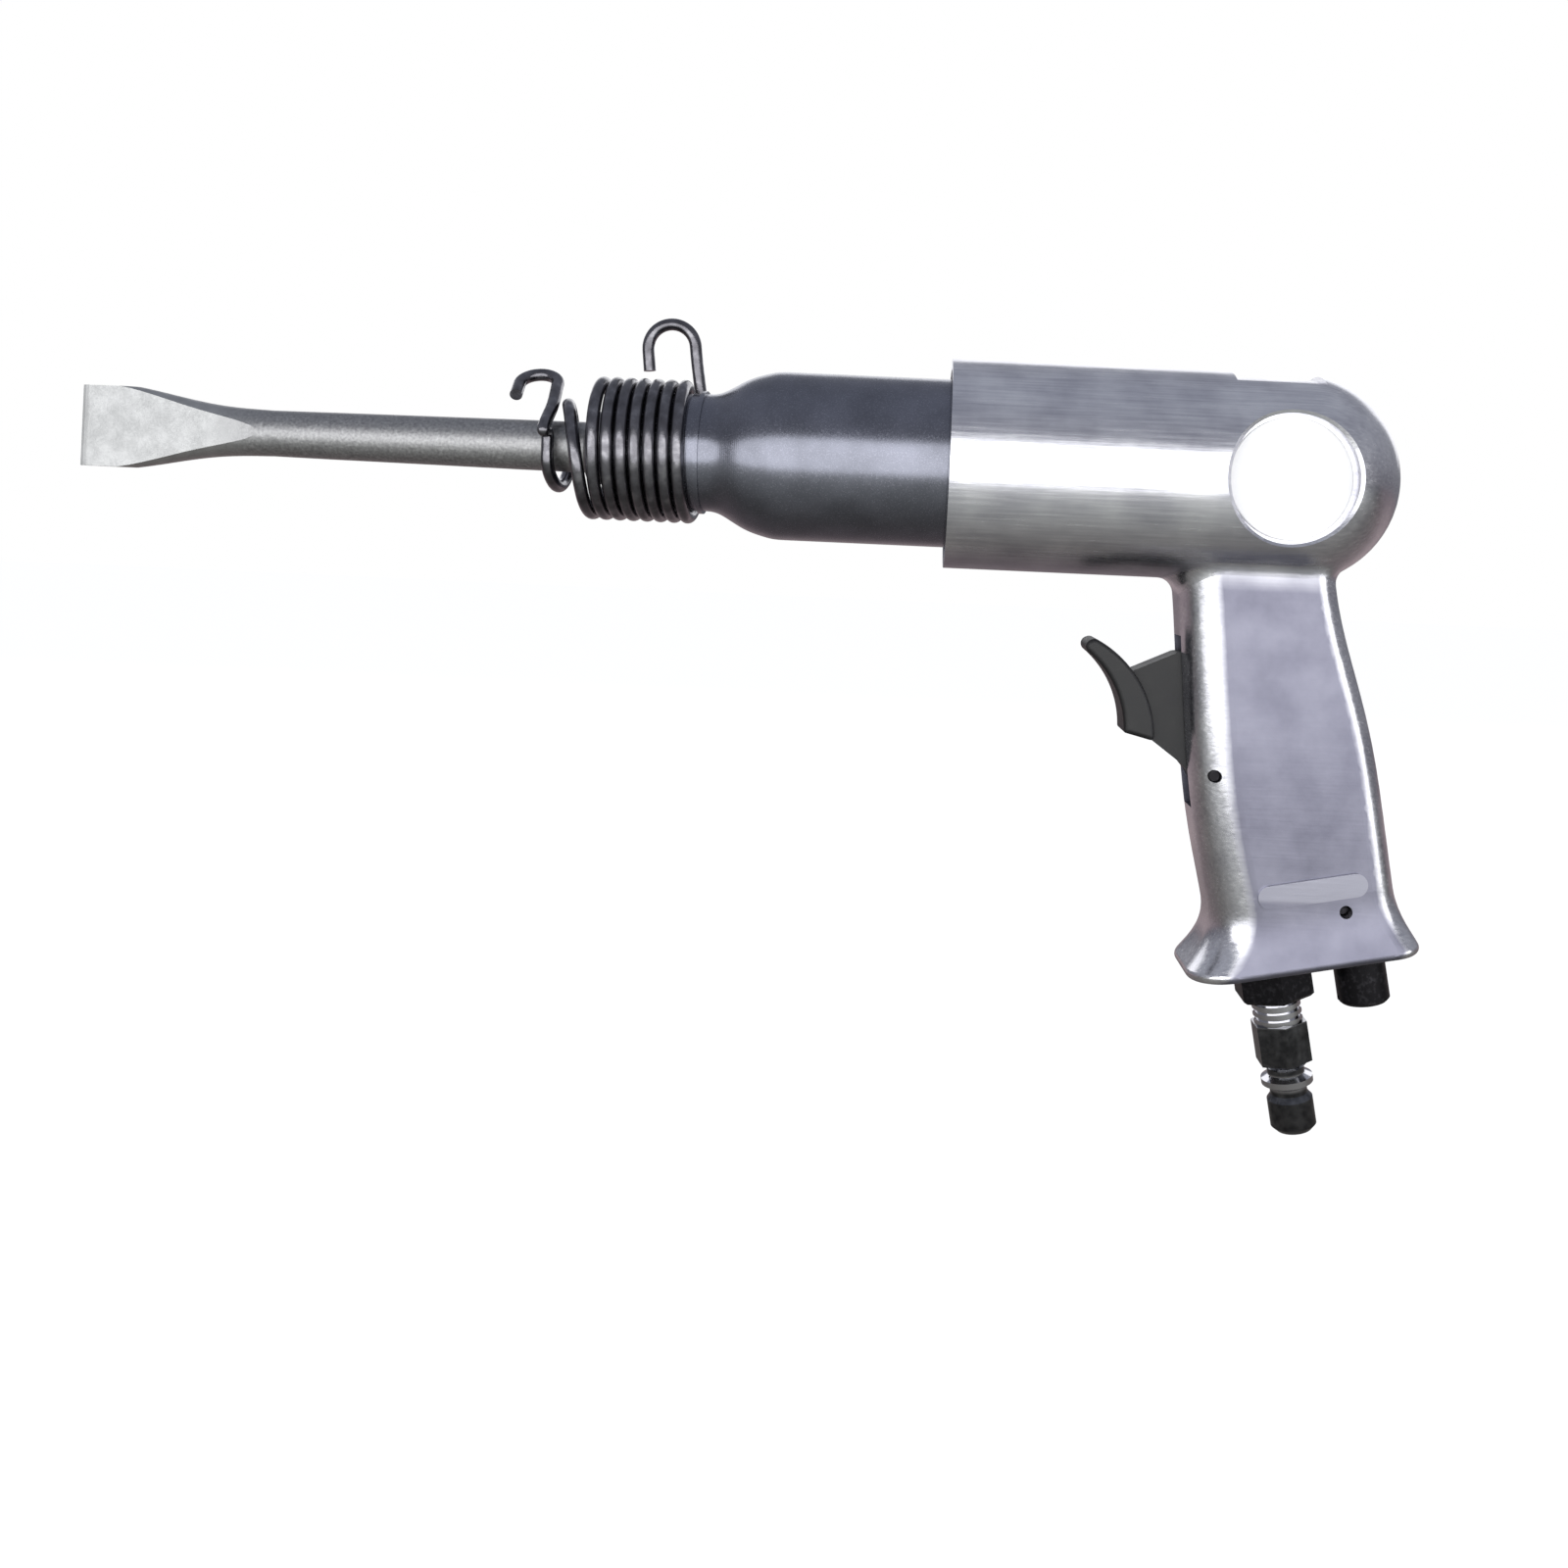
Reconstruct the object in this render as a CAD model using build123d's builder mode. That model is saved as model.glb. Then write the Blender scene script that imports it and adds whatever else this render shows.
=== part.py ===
from build123d import *
import math
import os

# Pneumatic air hammer with a flat chisel, in millimetres.
# Frame: the blow axis is X and the chisel points to -X; +Z is up; the grip hangs down.
# The origin is on the blow axis inside the head, just in front of the domed rear end.

# ---- driving dimensions ---------------------------------------------------------------
# head
HEAD_R = 25.0
HEAD_FRONT = -85.4
DOME_X = -3.0
SHROUD_BORE_R = 22.6
SEAT_BORE_R = 18.0
SHOULDER_X = -60.0
VALVE_BORE_R = 16.0
VALVE_FRONT = -34.0
VALVE_REAR = -22.0

# round recess with its blank plate, one on each side of the head
RECESS_X = -7.6
RECESS_Z = -0.9
RECESS_R = 14.9
RECESS_CHAMFER = 0.9
RECESS_FLOOR_Y = 18.0
PLATE_R = 14.1
PLATE_T = 0.8
PLATE_CHAMFER = 0.2

# barrel
BARREL_R = 20.1
BELL_X = -123.5
BELL_POINTS = [(-137.7, 15.5), (-133.0, 18.1), (-128.3, 19.6)]
NECK_R = 14.0
NECK_X = -142.6
NOSE_X = -166.0
PISTON_BORE_R = 9.5
PISTON_BORE_END = -116.0
SHANK_BORE_R = 5.15
PORT_X = -78.0
PORT_R = 2.2
PORT_SPACING = 7.0

# retainer spring, wound right-handed towards -X
WIRE_R = 1.5
COIL_R = 15.65
COIL_PITCH = 3.25
COIL_START = -146.3
COIL_DEG = 2655.0
NECKING_DEG = 150.0
LOOP_R = 9.6
LOOP_X = -177.0
LOOP_END_DEG = 3115.0

# chisel
SHANK_R = 5.1
SHANK_END = -114.0
COLLAR_R = 8.7
COLLAR_BACK = -166.6
COLLAR_FRONT = -171.1
BLADE_TIP = -293.0
BLADE_HALF_W = 9.65
EDGE_HALF_T = 0.35

# grip, in its own slanted frame: S runs down the grip, U runs rearwards across it
RAKE = 10.9
BASE_S = 112.0
INLET_U = -24.7
INLET_R = 8.0
AIRWAY_U = -18.5
AIRWAY_R = 3.0

# trigger and throttle
SLOT_W = 8.8
WEB_W = 8.0
BLADE_W = 13.0
PIN_R = 1.5
PIN_LEN = 23.0
PIN_CHAMFER = 0.3
PIN_HOLE_LEN = 40.0
PIVOT = (-20.6, -70.2)
STEM_Z = -52.0
STEM_R = 2.05
STEM_TIP_FILLET = 1.2
THROTTLE_BORE_R = 5.0
THROTTLE_BORE_END = 6.0

# regulator
KNOB_U = -3.65
KNOB_R = 6.1
KNOB_END_S = 125.5
REG_R = 4.4
REG_PIN_S = 99.9
REG_PIN_U = -8.6

# casting details
GRIP_FRONT_R = 10.5
GRIP_REAR_R = 6.2
NECK_FILLET = 4.5
BASE_FILLET = 1.4
POCKET_X = (-19.5, 1.6)
POCKET_DEPTH = 1.4
POCKET_HALF_W = 12.5
PAD_S = 94.0
PAD_U = -15.5
PAD_Y = 15.1
PAD_SIZE = (25.4, 5.4)
PAD_ROOT = 2.0

# shuttle valve
DOWEL_Z = 13.9
DOWEL_R = 1.0
SEAT_T = 3.0
VALVE_CAVITY = 2.6
VALVE_CAVITY_R = 12.0
RING_T = 1.2
RING_HOLE_R = 5.0
SEAT_HOLE_R = 3.0
SEAT_PORT_R = 1.2
SEAT_PORT_PCD_R = 8.0
CAP_GROOVE_R = 12.6
CAP_BOSS_R = 6.0
CAP_GROOVE_DEPTH = 1.5
CAP_PORT_PCD_R = 9.5
CAP_PORT_R = 1.5
DOWEL_DEPTH = 2.0

# barrel and piston details
LIP_X = -143.9
LIP_R = 14.7
LIP_HALF_T = 0.5
NOSE_CHAMFER = 0.8
BARREL_GROOVE_X = -46.0
BARREL_GROOVE_HALF = 1.3
BARREL_GROOVE_DEPTH = 1.55
BARREL_SEAL_R = 0.7
LOCK_RING_T = 2.4
LOCK_RING_GAP = 4.0
PISTON_REAR = -34.5
PISTON_LEN = 28.0
PISTON_CHAMFER = 1.0
OIL_GROOVES = 3
OIL_GROOVE_W = 1.2
OIL_GROOVE_DEPTH = 0.7
OIL_GROOVE_FIRST = 8.0
OIL_GROOVE_STEP = 5.0

# spring hooks: leg length, bend radius and forward lean in degrees
HOOK_TAIL = 5.3
REAR_HOOK = (27.5, 5.95, 6.5)
FRONT_HOOK = (13.2, 4.6, 5.0)
NECK_POINTS = 12

# blade of the chisel: place along the axis and half height
blade_sections = [
    (-247.0, 5.5),
    (-256.0, 5.85),
    (-265.0, 6.95),
    (-272.0, 8.3),
    (-279.0, 9.6),
    (-294.0, 9.9),
]
BLADE_HALF_T = 5.5
BEVEL_LEN = 0.8
BEVEL_HALF_T = 0.8
FACET_END = -249.0
FACET_RUNOUT = 10.0
FACET_CLEAR = 2.0
SHAFT_FRONT = -247.0
COLLAR_CHAMFER = 0.8
SHAFT_POINTS = [(SHAFT_FRONT, 5.5), (-232.0, 5.65), (-188.0, 6.0), (COLLAR_FRONT, 6.1)]

# trigger details, as (x, z) outlines seen from the left side
SLOT_OUTLINE = [(-60, -38.5), (-19.5, -38.5), (-15.7, -64.0), (-15.7, -75.5), (-18.5, -79.0), (-60, -79.0)]
WEB_OUTLINE = [
    (-40.0, -47.6), (-29.2, -42.6), (-24.5, -41.8), (-16.6, -68.8), (-18.0, -73.4), (-22.6, -73.8),
    (-26.8, -68.9), (-35.5, -62.6),
]
BOSS_R = 4.2
FINGER_SIDE = [(-52.6, -41.6), (-44.3, -50.2), (-41.2, -61.8)]
REAR_SIDE = [(-33.9, -63.6), (-38.4, -48.8), (-49.0, -39.8)]
TIP_FILLET = 1.7
HEEL_FILLET = 0.8
BLADE_FILLET = 1.2

# throttle details
BUSHING_X = (-17.2, -9.0)
BUSHING_MOUTH_R = 2.8
BUSHING_MOUTH = 4.0
BUSHING_PORT_R = 1.6
THROTTLE_BORE_FRONT = -20.0
STEM_FRONT = -20.6
POPPET_X = -7.5
POPPET_R = 4.0
POPPET_T = 3.0
THROTTLE_SEAL_R = 0.65
THROTTLE_SEAL_MEAN_R = 3.2
SPRING_R = 3.2
SPRING_WIRE_R = 0.45
SPRING_TURNS = 5.5
RISER_X = -12.5
RISER_R = 2.6
RISER_TOP_Z = -12.0
AIRWAY_TOP_S = 51.0

# air inlet, as depths down the grip
INLET_TOP_S = 97.0
INLET_SEAL_S = 107.0
BUSHING_HEX_R = 9.7
HEX_CHAMFER = 0.8
INLET_BUSHING_GAP = 1.5
BUSHING_END_S = 121.2
PLUG_THREAD_R = 5.8
PLUG_TOP_S = 108.0
PLUG_HEX_S = (127.3, 136.8)
PLUG_HEX_R = 6.9
PLUG_BORE_R = 3.2
RIDGE_S = 140.6
RIDGE_R = 6.1
RIDGE_RAMP = 0.8
RIDGE_T = 1.4
PLUG_NOSE_S = 145.8
PLUG_NOSE_R = 5.4
PLUG_END_S = 153.4
PLUG_BODY_R = 6.0
PLUG_WAIST_R = 4.4
PLUG_CHAMFER = 0.6
PLUG_NOSE_CHAMFER = 1.2
THREAD_RINGS = 3
THREAD_STEP = 1.8
THREAD_W = 0.8
THREAD_DEPTH = 0.6
INLET_GROOVE_W = 1.8
INLET_GROOVE_DEPTH = 1.35
SMALL_SEAL_R = 0.6
SCREEN_LEN = 6.0
SCREEN_WALL = 0.8
SCREEN_HOLE_R = 0.7
SCREEN_HOLE_GAP = 1.1
SCREEN_GRID = 4

# regulator details
REG_TOP_S = 89.5
REG_SEAL_S = 106.5
REG_GROOVE_DEPTH = 1.3
REG_GROOVES = [(REG_PIN_S, 1.9), (REG_SEAL_S, 1.0)]
KNOB_GAP = 0.3
KNOB_CHAMFER = 0.7
KNOB_SLOT_W = 1.6
KNOB_SLOT_DEPTH = 2.0
BLEED_R = 1.5
BLEED_DROP = 1.5

FIT = 0.05

os.makedirs("parts", exist_ok=True)


def grip_plane(s, u=0.0):
    """Plane across the grip at depth s, its x axis pointing rearwards and its z axis down the grip."""
    c = math.cos(math.radians(RAKE))
    k = math.sin(math.radians(RAKE))
    return Plane(origin=(s * k + u * c, 0, u * k - s * c), x_dir=(c, 0, k), z_dir=(k, 0, -c))


def save(part, name):
    part.label = name
    export_step(part, f"parts/{name}.step")


def x_plane(x, y=0.0, z=0.0):
    """Plane across the blow axis, facing +X."""
    return Plane(origin=(x, y, z), x_dir=(0, 1, 0), z_dir=(1, 0, 0))


def side_plane(x, y, z):
    """Plane facing away from the tool's middle, towards +Y or -Y."""
    return Plane(origin=(x, y, z), x_dir=(1, 0, 0), z_dir=(0, math.copysign(1, y), 0))


def cross_hole_plane(x, z):
    """Plane outside the right side, facing the left side, where cross holes start."""
    return Plane(origin=(x, PIN_HOLE_LEN / 2, z), x_dir=(1, 0, 0), z_dir=(0, -1, 0))


# ---- housing: head and grip are one aluminium casting -----------------------------------
# each grip section: depth, front u, rear u, half width
handle_sections = [
    (12.0, -33.8, 3.0, 13.6),
    (26.0, -34.8, 1.9, 13.0),
    (40.0, -36.2, 2.5, 13.1),
    (54.0, -37.6, 4.0, 13.5),
    (68.0, -38.6, 4.8, 13.9),
    (82.0, -38.7, 4.7, 14.2),
    (96.0, -38.1, 4.4, 14.5),
]
foot_sections = [
    (96.0, -38.1, 4.4, 14.5),
    (100.0, -38.6, 4.6, 14.6),
    (104.0, -40.5, 5.4, 15.2),
    (108.0, -44.0, 6.8, 16.4),
    (BASE_S, -48.2, 8.1, 17.6),
]



def is_recess_rim(edge, side):
    """Whether an edge is the outer rim of the round recess on the given side of the head."""
    at = edge @ 0.3
    outside = side * edge.center().Y > RECESS_FLOOR_Y + 0.5
    on_circle = abs(math.hypot(at.X - RECESS_X, at.Z - RECESS_Z) - RECESS_R) < 0.01
    return outside and on_circle


with BuildPart() as grip:
    for sections in (handle_sections, foot_sections):
        for depth, front, rear, half_w in sections:
            with BuildSketch(grip_plane(depth)) as section:
                with Locations(((front + rear) / 2, 0)):
                    Rectangle(rear - front, 2 * half_w)
                fillet(section.vertices().group_by(Axis.X)[0], GRIP_FRONT_R)
                fillet(section.vertices().group_by(Axis.X)[-1], GRIP_REAR_R)
        loft()

with BuildPart() as housing:
    with BuildSketch(Plane.XZ):
        with BuildLine():
            Line((HEAD_FRONT, 0), (HEAD_FRONT, HEAD_R))
            Line((HEAD_FRONT, HEAD_R), (DOME_X, HEAD_R))
            RadiusArc((DOME_X, HEAD_R), (DOME_X + HEAD_R, 0), HEAD_R)
            Line((DOME_X + HEAD_R, 0), (HEAD_FRONT, 0))
        make_face()
    revolve(axis=Axis.X)
    add(grip.part)
    fillet(housing.edges(Select.NEW), NECK_FILLET)
    fillet(housing.faces().sort_by(Axis.Z)[0].outer_wire().edges(), BASE_FILLET)

    # shallow pocket along the crown
    with BuildSketch(x_plane(POCKET_X[0])):
        Circle(HEAD_R + 2)
        Circle(HEAD_R - POCKET_DEPTH, mode=Mode.SUBTRACT)
        with Locations((0, HEAD_R)):
            Rectangle(2 * POCKET_HALF_W, 2 * HEAD_R, mode=Mode.INTERSECT)
    extrude(amount=POCKET_X[1] - POCKET_X[0], mode=Mode.SUBTRACT)

    # stepped bore: shroud round the barrel, threaded seat, valve chamber
    stepped = [
        (SHROUD_BORE_R, HEAD_FRONT - 1, SHOULDER_X),
        (SEAT_BORE_R, SHOULDER_X, VALVE_FRONT),
        (VALVE_BORE_R, VALVE_FRONT, VALVE_REAR),
    ]
    for radius, x_from, x_to in stepped:
        with BuildSketch(x_plane(x_from)):
            Circle(radius)
        extrude(amount=x_to - x_from, mode=Mode.SUBTRACT)
    with BuildSketch(x_plane(VALVE_REAR, z=DOWEL_Z)):
        Circle(DOWEL_R)
    extrude(amount=DOWEL_DEPTH + 0.5, mode=Mode.SUBTRACT)

    # round recesses for the two blank plates
    for side in (1, -1):
        with BuildSketch(side_plane(RECESS_X, side * RECESS_FLOOR_Y, RECESS_Z)):
            Circle(RECESS_R)
        extrude(amount=HEAD_R, mode=Mode.SUBTRACT)
        chamfer(housing.edges().filter_by(lambda e: is_recess_rim(e, side)), RECESS_CHAMFER)

    # trigger slot and throttle bore
    with BuildSketch(Plane.XZ):
        Polygon(*SLOT_OUTLINE, align=None)
    extrude(amount=SLOT_W / 2, both=True, mode=Mode.SUBTRACT)
    with BuildSketch(x_plane(THROTTLE_BORE_FRONT, z=STEM_Z)):
        Circle(THROTTLE_BORE_R)
    extrude(amount=THROTTLE_BORE_END - THROTTLE_BORE_FRONT, mode=Mode.SUBTRACT)

    # airways: inlet, up the grip, past the throttle, into the valve chamber
    with BuildSketch(grip_plane(INLET_TOP_S, INLET_U)):
        Circle(INLET_R)
    extrude(amount=BASE_S - INLET_TOP_S + 2, mode=Mode.SUBTRACT)
    with BuildSketch(grip_plane(AIRWAY_TOP_S, AIRWAY_U)):
        Circle(AIRWAY_R)
    extrude(amount=INLET_TOP_S - AIRWAY_TOP_S + 1, mode=Mode.SUBTRACT)
    with BuildSketch(Plane((RISER_X, 0, STEM_Z))):
        Circle(RISER_R)
    extrude(amount=RISER_TOP_Z - STEM_Z, mode=Mode.SUBTRACT)
    with BuildSketch(x_plane(VALVE_REAR - 0.5, z=RISER_TOP_Z)):
        Circle(AIRWAY_R)
    extrude(amount=RISER_X - VALVE_REAR + RISER_R, mode=Mode.SUBTRACT)

    # regulator bore with its bleed across to the airway
    with BuildSketch(grip_plane(REG_TOP_S - 1, KNOB_U)):
        Circle(REG_R + FIT)
    extrude(amount=BASE_S - REG_TOP_S + 3, mode=Mode.SUBTRACT)
    bleed = grip_plane(REG_TOP_S + BLEED_DROP, AIRWAY_U)
    with BuildSketch(Plane(bleed.origin, x_dir=(0, 1, 0), z_dir=bleed.x_dir)):
        Circle(BLEED_R)
    extrude(amount=KNOB_U - AIRWAY_U, mode=Mode.SUBTRACT)

    # cross holes for the two pins
    reg_pin_at = grip_plane(REG_PIN_S, REG_PIN_U).origin
    for x, z in (PIVOT, (reg_pin_at.X, reg_pin_at.Z)):
        with BuildSketch(cross_hole_plane(x, z)):
            Circle(PIN_R)
        extrude(amount=PIN_HOLE_LEN, mode=Mode.SUBTRACT)

    # raised blank pad low on the left panel
    pad_at = grip_plane(PAD_S, PAD_U)
    pad_foot = pad_at.origin - Vector(0, PAD_Y - PAD_ROOT, 0)
    with BuildSketch(Plane(pad_foot, x_dir=pad_at.x_dir, z_dir=(0, -1, 0))):
        SlotOverall(*PAD_SIZE)
    extrude(amount=PAD_ROOT)
save(housing.part, "housing")

# ---- blank plates pressed into the recesses ---------------------------------------------
for side, name in ((-1, "nameplate_left"), (1, "nameplate_right")):
    with BuildPart() as plate:
        with BuildSketch(side_plane(RECESS_X, side * RECESS_FLOOR_Y, RECESS_Z)):
            Circle(PLATE_R)
        extrude(amount=PLATE_T)
        chamfer(plate.faces().sort_by(Axis.Y)[-1 if side > 0 else 0].edges(), PLATE_CHAMFER)
    save(plate.part, name)

# ---- barrel: one turned steel piece, screwed into the head --------------------------------
with BuildPart() as barrel:
    with BuildSketch(Plane.XZ):
        with BuildLine():
            Polyline(
                (NOSE_X, SHANK_BORE_R),
                (NOSE_X, NECK_R - NOSE_CHAMFER),
                (NOSE_X + NOSE_CHAMFER, NECK_R),
                (LIP_X - LIP_HALF_T, NECK_R),
                (LIP_X - LIP_HALF_T, LIP_R),
                (LIP_X + LIP_HALF_T, LIP_R),
                (LIP_X + LIP_HALF_T, NECK_R),
                (NECK_X, NECK_R),
            )
            Spline(
                (NECK_X, NECK_R),
                *BELL_POINTS,
                (BELL_X, BARREL_R),
                tangents=((1, 0), (1, 0)),
            )
            Polyline(
                (BELL_X, BARREL_R),
                (SHOULDER_X, BARREL_R),
                (SHOULDER_X, SEAT_BORE_R),
                (BARREL_GROOVE_X - BARREL_GROOVE_HALF, SEAT_BORE_R),
                (BARREL_GROOVE_X - BARREL_GROOVE_HALF, SEAT_BORE_R - BARREL_GROOVE_DEPTH),
                (BARREL_GROOVE_X + BARREL_GROOVE_HALF, SEAT_BORE_R - BARREL_GROOVE_DEPTH),
                (BARREL_GROOVE_X + BARREL_GROOVE_HALF, SEAT_BORE_R),
                (VALVE_FRONT, SEAT_BORE_R),
                (VALVE_FRONT, PISTON_BORE_R),
                (PISTON_BORE_END, PISTON_BORE_R),
                (PISTON_BORE_END, SHANK_BORE_R),
                (NOSE_X, SHANK_BORE_R),
            )
        make_face()
    revolve(axis=Axis.X)
    # exhaust ports under the shroud
    for port_z in (1, -1):
        with BuildSketch(Plane((PORT_X, 0, 0), x_dir=(1, 0, 0), z_dir=(0, 0, port_z))):
            with GridLocations(PORT_SPACING, 1, 2, 1):
                Circle(PORT_R)
        extrude(amount=BARREL_R + 1, mode=Mode.SUBTRACT)
save(barrel.part, "barrel")

# ---- spring lock ring behind the shroud mouth, and the barrel's seal ----------------------
with BuildPart() as lock_ring:
    with BuildSketch(x_plane(SHOULDER_X - LOCK_RING_T)):
        Circle(SHROUD_BORE_R)
        Circle(BARREL_R, mode=Mode.SUBTRACT)
        with Locations((0, SHROUD_BORE_R)):
            Rectangle(LOCK_RING_GAP, 2 * LOCK_RING_GAP, mode=Mode.SUBTRACT)
    extrude(amount=LOCK_RING_T)
save(lock_ring.part, "barrel_lock_ring")

with BuildPart() as barrel_seal:
    with BuildSketch(Plane.XZ):
        with Locations((BARREL_GROOVE_X, SEAT_BORE_R - FIT - BARREL_SEAL_R)):
            Circle(BARREL_SEAL_R)
    revolve(axis=Axis.X)
save(barrel_seal.part, "barrel_o_ring")

# ---- piston: plain hardened steel, with oil grooves ----------------------------------------
with BuildPart() as piston:
    with BuildSketch(x_plane(PISTON_REAR - PISTON_LEN)):
        Circle(PISTON_BORE_R - FIT)
    extrude(amount=PISTON_LEN)
    chamfer(piston.edges(), PISTON_CHAMFER)
    for step in range(OIL_GROOVES):
        with BuildSketch(x_plane(PISTON_REAR - PISTON_LEN + OIL_GROOVE_FIRST + OIL_GROOVE_STEP * step)):
            Circle(PISTON_BORE_R + 1)
            Circle(PISTON_BORE_R - OIL_GROOVE_DEPTH, mode=Mode.SUBTRACT)
        extrude(amount=OIL_GROOVE_W, mode=Mode.SUBTRACT)
save(piston.part, "piston")

# ---- shuttle valve: seat, loose ring and cap, lined up by a dowel ---------------------------
with BuildPart() as valve_seat:
    with BuildSketch(x_plane(VALVE_FRONT)):
        Circle(VALVE_BORE_R - FIT)
        Circle(SEAT_HOLE_R, mode=Mode.SUBTRACT)
        with PolarLocations(SEAT_PORT_PCD_R, 6):
            Circle(SEAT_PORT_R, mode=Mode.SUBTRACT)
        with Locations((0, DOWEL_Z)):
            Circle(DOWEL_R, mode=Mode.SUBTRACT)
    extrude(amount=SEAT_T)
save(valve_seat.part, "valve_seat")

with BuildPart() as valve_cap:
    with BuildSketch(x_plane(VALVE_FRONT + SEAT_T)):
        Circle(VALVE_BORE_R - FIT)
        with Locations((0, DOWEL_Z)):
            Circle(DOWEL_R, mode=Mode.SUBTRACT)
    extrude(amount=VALVE_REAR - VALVE_FRONT - SEAT_T)
    with BuildSketch(x_plane(VALVE_FRONT + SEAT_T)):
        Circle(VALVE_CAVITY_R)
    extrude(amount=VALVE_CAVITY, mode=Mode.SUBTRACT)
    with BuildSketch(x_plane(VALVE_REAR)):
        Circle(CAP_GROOVE_R)
        Circle(CAP_BOSS_R, mode=Mode.SUBTRACT)
    extrude(amount=-CAP_GROOVE_DEPTH, mode=Mode.SUBTRACT)
    with BuildSketch(x_plane(VALVE_REAR)):
        with PolarLocations(CAP_PORT_PCD_R, 6):
            Circle(CAP_PORT_R)
    extrude(amount=VALVE_FRONT - VALVE_REAR, mode=Mode.SUBTRACT)
save(valve_cap.part, "valve_cap")

with BuildPart() as valve_ring:
    with BuildSketch(x_plane(VALVE_FRONT + SEAT_T + VALVE_CAVITY - 0.1 - RING_T)):
        Circle(VALVE_CAVITY_R - 0.4)
        Circle(RING_HOLE_R, mode=Mode.SUBTRACT)
    extrude(amount=RING_T)
save(valve_ring.part, "valve_ring")

with BuildPart() as valve_dowel:
    with BuildSketch(x_plane(VALVE_FRONT, z=DOWEL_Z)):
        Circle(DOWEL_R)
    extrude(amount=VALVE_REAR - VALVE_FRONT + DOWEL_DEPTH)
save(valve_dowel.part, "valve_dowel")


# ---- retainer spring: one length of wire with a hook at each end ---------------------------
def coil_radius(turned):
    """Mean radius of the wire after the given degrees: full coils, then a neck down to the small loop."""
    t = min(max((turned - COIL_DEG) / NECKING_DEG, 0.0), 1.0)
    return COIL_R + (LOOP_R - COIL_R) * t * t * (3 - 2 * t)


def coil_x(turned):
    """Place along the blow axis: even pitch, a stretched neck, then even pitch again."""
    if turned <= COIL_DEG:
        return COIL_START - COIL_PITCH * turned / 360
    if turned >= COIL_DEG + NECKING_DEG:
        return LOOP_X - COIL_PITCH * (turned - COIL_DEG - NECKING_DEG) / 360
    t = (turned - COIL_DEG) / NECKING_DEG
    x_from = COIL_START - COIL_PITCH * COIL_DEG / 360
    slope = -COIL_PITCH * NECKING_DEG / 360
    blend_x = x_from + (LOOP_X - x_from) * t * t * (3 - 2 * t)
    return blend_x + slope * t * (1 - t) * (1 - 2 * t)


def coil_point(turned):
    a = math.radians(turned)
    return (coil_x(turned), coil_radius(turned) * math.cos(a), -coil_radius(turned) * math.sin(a))


coil_plane = Plane(origin=(COIL_START, 0, 0), x_dir=(0, 1, 0), z_dir=(-1, 0, 0))
coils = coil_plane * Helix(COIL_PITCH, COIL_PITCH * COIL_DEG / 360, COIL_R)

lean = math.radians(LOOP_END_DEG)
forward = Vector(-1, 0, 0)
leg_dir = Vector(0, -math.sin(lean), -math.cos(lean))
neck_step = (LOOP_END_DEG - COIL_DEG) / NECK_POINTS
with BuildLine() as neck:
    Spline(
        *[coil_point(COIL_DEG + neck_step * i) for i in range(NECK_POINTS + 1)],
        tangents=(coils % 1, leg_dir),
    )


def hook(foot, foot_dir, rise, leg, radius, lean):
    """Wire of a J hook: a leg that rises from the foot, a half turn towards -X and a straight tail."""
    c = math.cos(math.radians(lean))
    k = math.sin(math.radians(lean))
    up = rise * c + forward * k
    over = forward * c - rise * k
    leg_top = foot + up * leg
    far_side = leg_top + over * 2 * radius
    with BuildLine() as wire:
        Spline(foot, leg_top, tangents=(foot_dir, up))
        ThreePointArc(leg_top, leg_top + (over + up) * radius, far_side)
        Line(far_side, far_side - up * HOOK_TAIL)
    return wire.line


rear_hook = hook(coils @ 0, (coils % 0) * -1, Vector(0, 0, 1), *REAR_HOOK)
front_hook = hook(neck.line @ 1, leg_dir, leg_dir, *FRONT_HOOK)

with BuildPart() as retainer_spring:
    for path in (rear_hook, coils, neck.line, front_hook):
        with BuildSketch(Plane(origin=path @ 0, z_dir=path % 0)):
            Circle(WIRE_R)
        sweep(path=path)
save(retainer_spring.part, "retainer_spring")

# ---- chisel: forged blade, round shaft, retaining collar and plain shank ---------------------
with BuildPart() as blade:
    for x, half_h in blade_sections:
        with BuildSketch(x_plane(x)):
            Ellipse(BLADE_HALF_T, half_h)
    loft()
    with BuildSketch():
        with BuildLine():
            Polyline(
                (BLADE_TIP, EDGE_HALF_T),
                (BLADE_TIP + BEVEL_LEN, BEVEL_HALF_T),
                (FACET_END, BLADE_HALF_T),
                (FACET_END + FACET_RUNOUT, BLADE_HALF_T + FACET_CLEAR),
                (FACET_END + FACET_RUNOUT, -BLADE_HALF_T - FACET_CLEAR),
                (FACET_END, -BLADE_HALF_T),
                (BLADE_TIP + BEVEL_LEN, -BEVEL_HALF_T),
                (BLADE_TIP, -EDGE_HALF_T),
                close=True,
            )
        make_face()
    extrude(amount=BLADE_HALF_W, both=True, mode=Mode.INTERSECT)

with BuildPart() as chisel:
    with BuildSketch(Plane.XZ):
        with BuildLine():
            Polyline(
                (SHAFT_FRONT, 0),
                *SHAFT_POINTS,
                (COLLAR_FRONT, COLLAR_R - COLLAR_CHAMFER),
                (COLLAR_FRONT + COLLAR_CHAMFER, COLLAR_R),
                (COLLAR_BACK - COLLAR_CHAMFER, COLLAR_R),
                (COLLAR_BACK, COLLAR_R - COLLAR_CHAMFER),
                (COLLAR_BACK, SHANK_R),
                (SHANK_END - 1, SHANK_R),
                (SHANK_END, SHANK_R - 1),
                (SHANK_END, 0),
                close=True,
            )
        make_face()
    revolve(axis=Axis.X)
    add(blade.part)
save(chisel.part, "chisel")

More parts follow.
